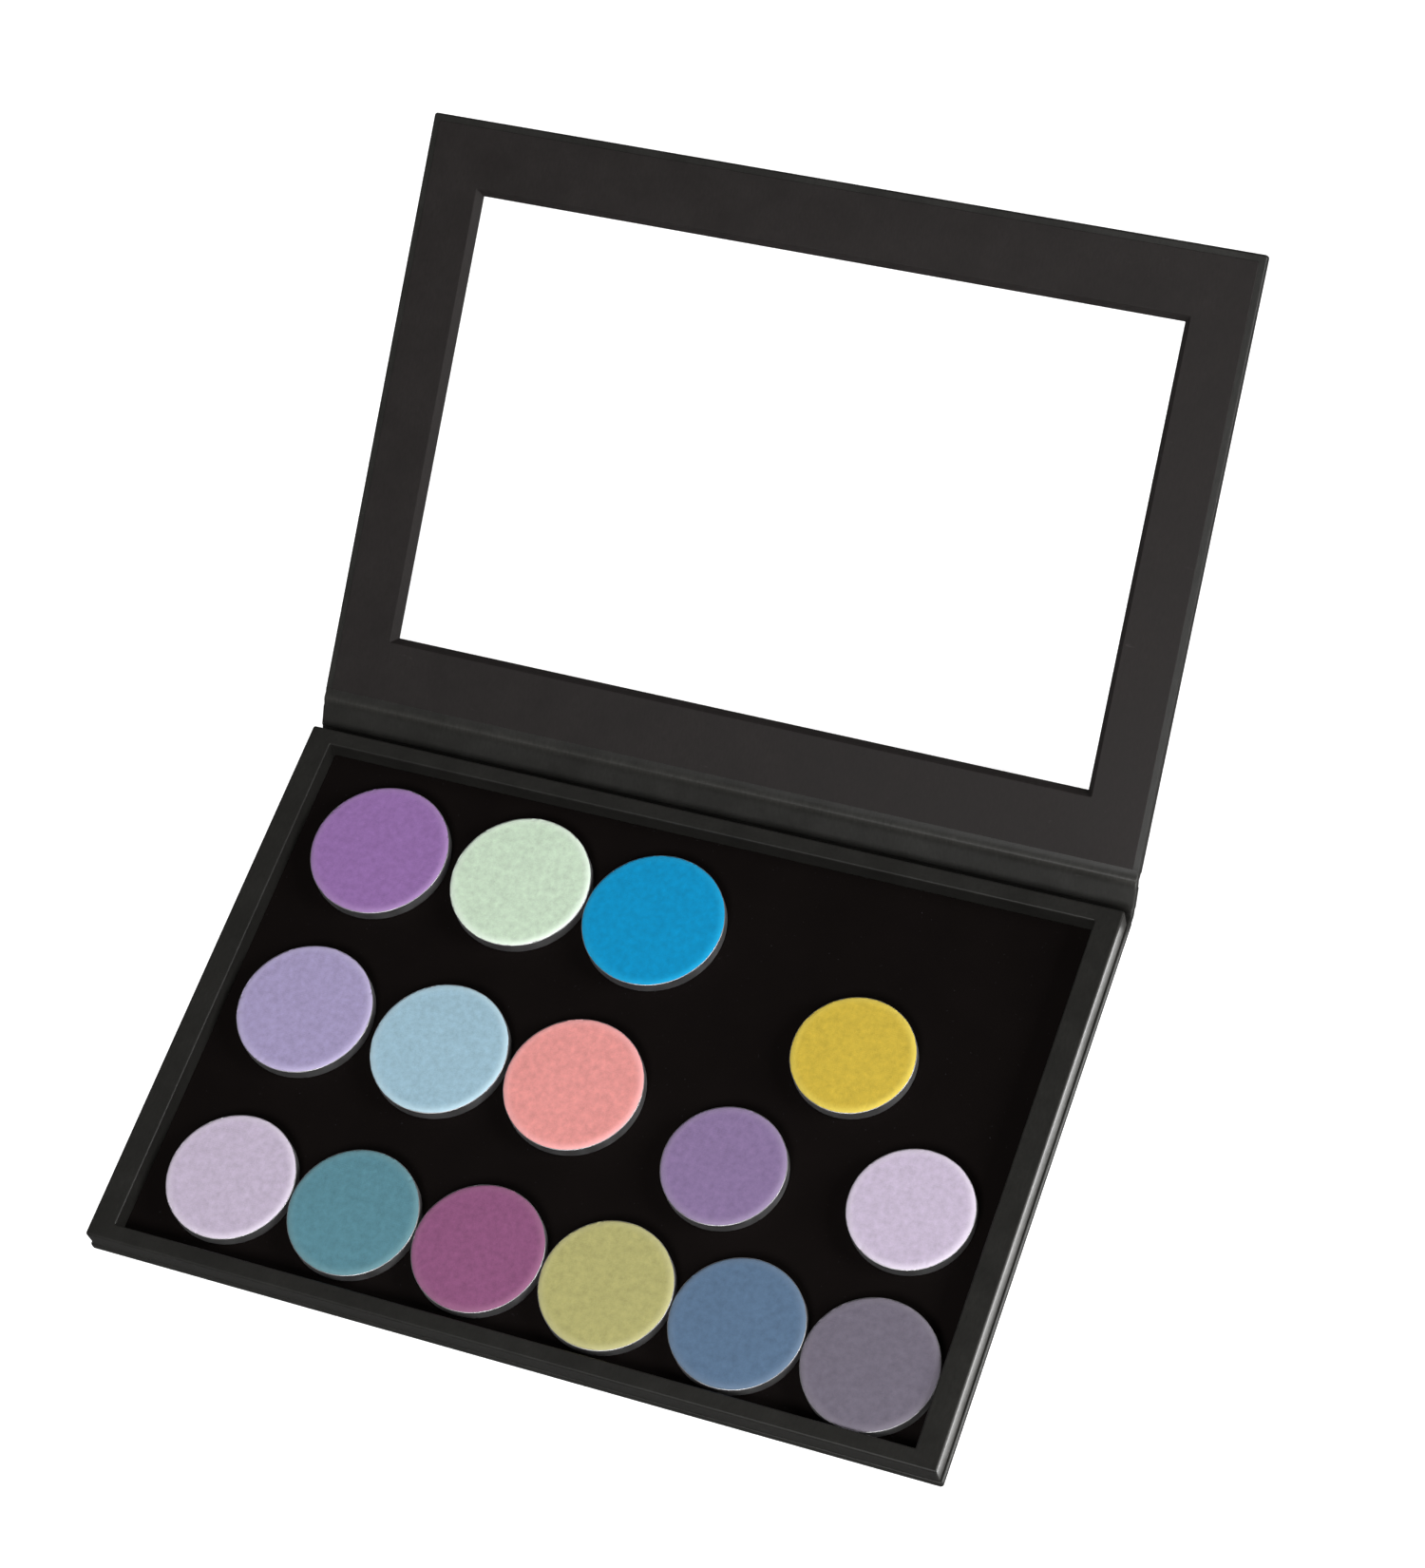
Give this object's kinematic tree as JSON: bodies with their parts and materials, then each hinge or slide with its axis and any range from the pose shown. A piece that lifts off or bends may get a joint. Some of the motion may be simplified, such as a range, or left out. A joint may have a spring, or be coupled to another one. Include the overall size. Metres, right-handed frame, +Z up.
{
  "type": "magnetic powder palette",
  "caption": "Book-style box of paper-wrapped board with a windowed lid and a magnetic floor that holds loose round pans of pressed colour.",
  "frame": {"origin": "middle of the flat underside of the bottom board", "axes": "+Z up, normal to the underside; +X to the right along the case; +Y from the front edge to the hinges"},
  "size_m": [0.1882, 0.2465, 0.075],
  "materials": {
    "black_paper": "satin black coated wrapping paper on greyboard",
    "liner_paper": "satin black coated paper",
    "greyboard": "uncoated grey paperboard",
    "magnetic_vinyl": "matte black magnetic sheet",
    "magnet_metal": "nickel plated",
    "clear_film": "clear polyester film",
    "tin_plate": "bright drawn tin plate",
    "powder_purple": "pressed powder",
    "powder_mint": "pressed powder",
    "powder_vivid_blue": "pressed powder",
    "powder_lavender": "pressed powder",
    "powder_light_blue": "pressed powder",
    "powder_coral": "pressed powder",
    "powder_violet": "pressed powder",
    "powder_yellow": "pressed powder",
    "powder_pale_lilac": "pressed powder",
    "powder_pale_lavender": "pressed powder",
    "powder_teal": "pressed powder",
    "powder_plum": "pressed powder",
    "powder_olive": "pressed powder",
    "powder_steel_blue": "pressed powder",
    "powder_grey_violet": "pressed powder"
  },
  "bodies": {
    "case_base": {"bottom_board": "greyboard", "bottom_wrap": "black_paper", "tray_wall_front": "greyboard", "tray_wall_back": "greyboard", "tray_wall_left": "greyboard", "tray_wall_right": "greyboard", "tray_wrap": "black_paper", "magnetic_sheet": "magnetic_vinyl", "tray_magnets": "magnet_metal", "lower_hinge_paper": "liner_paper"},
    "spine": {"spine_board": "greyboard", "spine_wrap": "black_paper", "upper_hinge_paper": "liner_paper"},
    "lid": {"lid_board": "greyboard", "lid_wrap": "black_paper", "lid_liner": "liner_paper", "window_film": "clear_film", "lid_steel_strips": "magnet_metal"},
    "pan_of_purple": {"pan_purple": "tin_plate", "cake_purple": "powder_purple"},
    "pan_of_mint": {"pan_mint": "tin_plate", "cake_mint": "powder_mint"},
    "pan_of_vivid_blue": {"pan_vivid_blue": "tin_plate", "cake_vivid_blue": "powder_vivid_blue"},
    "pan_of_lavender": {"pan_lavender": "tin_plate", "cake_lavender": "powder_lavender"},
    "pan_of_light_blue": {"pan_light_blue": "tin_plate", "cake_light_blue": "powder_light_blue"},
    "pan_of_coral": {"pan_coral": "tin_plate", "cake_coral": "powder_coral"},
    "pan_of_violet": {"pan_violet": "tin_plate", "cake_violet": "powder_violet"},
    "pan_of_yellow": {"pan_yellow": "tin_plate", "cake_yellow": "powder_yellow"},
    "pan_of_pale_lilac": {"pan_pale_lilac": "tin_plate", "cake_pale_lilac": "powder_pale_lilac"},
    "pan_of_pale_lavender": {"pan_pale_lavender": "tin_plate", "cake_pale_lavender": "powder_pale_lavender"},
    "pan_of_teal": {"pan_teal": "tin_plate", "cake_teal": "powder_teal"},
    "pan_of_plum": {"pan_plum": "tin_plate", "cake_plum": "powder_plum"},
    "pan_of_olive": {"pan_olive": "tin_plate", "cake_olive": "powder_olive"},
    "pan_of_steel_blue": {"pan_steel_blue": "tin_plate", "cake_steel_blue": "powder_steel_blue"},
    "pan_of_grey_violet": {"pan_grey_violet": "tin_plate", "cake_grey_violet": "powder_grey_violet"}
  },
  "joints": [
    {"name": "lid_fold", "type": "hinge", "parent": "spine", "child": "lid", "pos_m": [0, 0.07085, 0.00651], "axis": [-1, 0, 0], "range_deg": [-104.1, 21.8], "deforming": ["upper_hinge_paper"]},
    {"name": "spine_fold", "type": "hinge", "parent": "case_base", "child": "spine", "pos_m": [0, 0.0654, 0.001], "axis": [-1, 0, 0], "range_deg": [-44.72, 9.4], "deforming": ["lower_hinge_paper"]},
    {"name": "lift_purple", "type": "slide", "parent": "case_base", "child": "pan_of_purple", "axis": [0, 0, 1], "range_m": [0, 0.02]},
    {"name": "lift_mint", "type": "slide", "parent": "case_base", "child": "pan_of_mint", "axis": [0, 0, 1], "range_m": [0, 0.02]},
    {"name": "lift_vivid_blue", "type": "slide", "parent": "case_base", "child": "pan_of_vivid_blue", "axis": [0, 0, 1], "range_m": [0, 0.02]},
    {"name": "lift_lavender", "type": "slide", "parent": "case_base", "child": "pan_of_lavender", "axis": [0, 0, 1], "range_m": [0, 0.02]},
    {"name": "lift_light_blue", "type": "slide", "parent": "case_base", "child": "pan_of_light_blue", "axis": [0, 0, 1], "range_m": [0, 0.02]},
    {"name": "lift_coral", "type": "slide", "parent": "case_base", "child": "pan_of_coral", "axis": [0, 0, 1], "range_m": [0, 0.02]},
    {"name": "lift_violet", "type": "slide", "parent": "case_base", "child": "pan_of_violet", "axis": [0, 0, 1], "range_m": [0, 0.02]},
    {"name": "lift_yellow", "type": "slide", "parent": "case_base", "child": "pan_of_yellow", "axis": [0, 0, 1], "range_m": [0, 0.02]},
    {"name": "lift_pale_lilac", "type": "slide", "parent": "case_base", "child": "pan_of_pale_lilac", "axis": [0, 0, 1], "range_m": [0, 0.02]},
    {"name": "lift_pale_lavender", "type": "slide", "parent": "case_base", "child": "pan_of_pale_lavender", "axis": [0, 0, 1], "range_m": [0, 0.02]},
    {"name": "lift_teal", "type": "slide", "parent": "case_base", "child": "pan_of_teal", "axis": [0, 0, 1], "range_m": [0, 0.02]},
    {"name": "lift_plum", "type": "slide", "parent": "case_base", "child": "pan_of_plum", "axis": [0, 0, 1], "range_m": [0, 0.02]},
    {"name": "lift_olive", "type": "slide", "parent": "case_base", "child": "pan_of_olive", "axis": [0, 0, 1], "range_m": [0, 0.02]},
    {"name": "lift_steel_blue", "type": "slide", "parent": "case_base", "child": "pan_of_steel_blue", "axis": [0, 0, 1], "range_m": [0, 0.02]},
    {"name": "lift_grey_violet", "type": "slide", "parent": "case_base", "child": "pan_of_grey_violet", "axis": [0, 0, 1], "range_m": [0, 0.02]}
  ],
  "couplings": [
    {"joint": "spine_fold", "follows": "lid_fold", "ratio": 0.4294}
  ]
}
